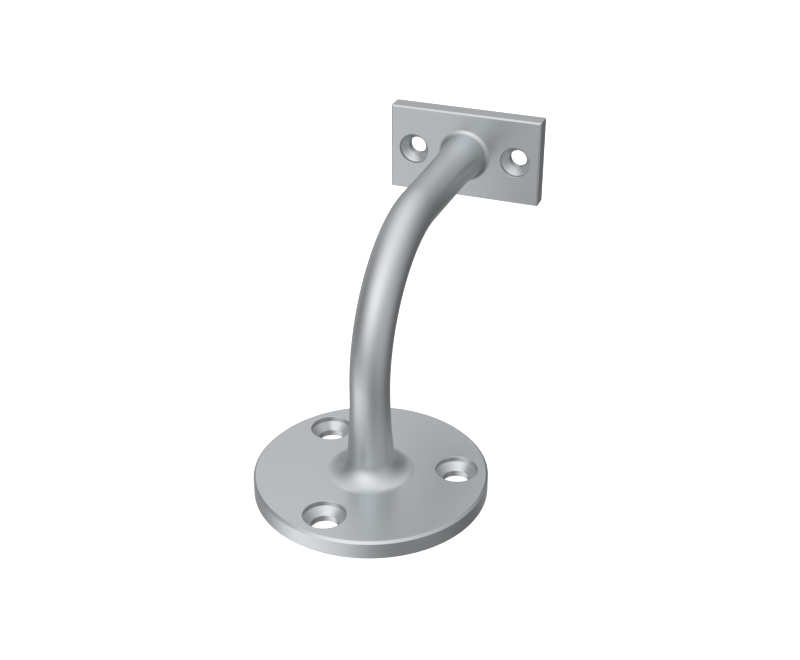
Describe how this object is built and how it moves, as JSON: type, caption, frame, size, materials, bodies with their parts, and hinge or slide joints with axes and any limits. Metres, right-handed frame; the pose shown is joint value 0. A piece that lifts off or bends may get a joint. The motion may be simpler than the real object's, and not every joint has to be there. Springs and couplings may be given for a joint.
{
  "type": "handrail bracket",
  "caption": "Handrail bracket: a round wall plate, a round arm with a quarter bend and a flat rail plate at its end, both plates with countersunk screw holes.",
  "frame": {"origin": "centre of the round wall plate, on the face that lies against the wall", "axes": "+Z stands square out of the wall, along the three wall screw holes. +Y runs from the wall plate's centre towards the rail, square to the rail plate's face. X runs along the rail plate's long side, through its two screw holes."},
  "size_m": [0.07, 0.1247, 0.0887],
  "materials": {
    "satin_metal": "satin"
  },
  "bodies": {
    "root": {"handrail_bracket": "satin_metal"}
  },
  "joints": []
}
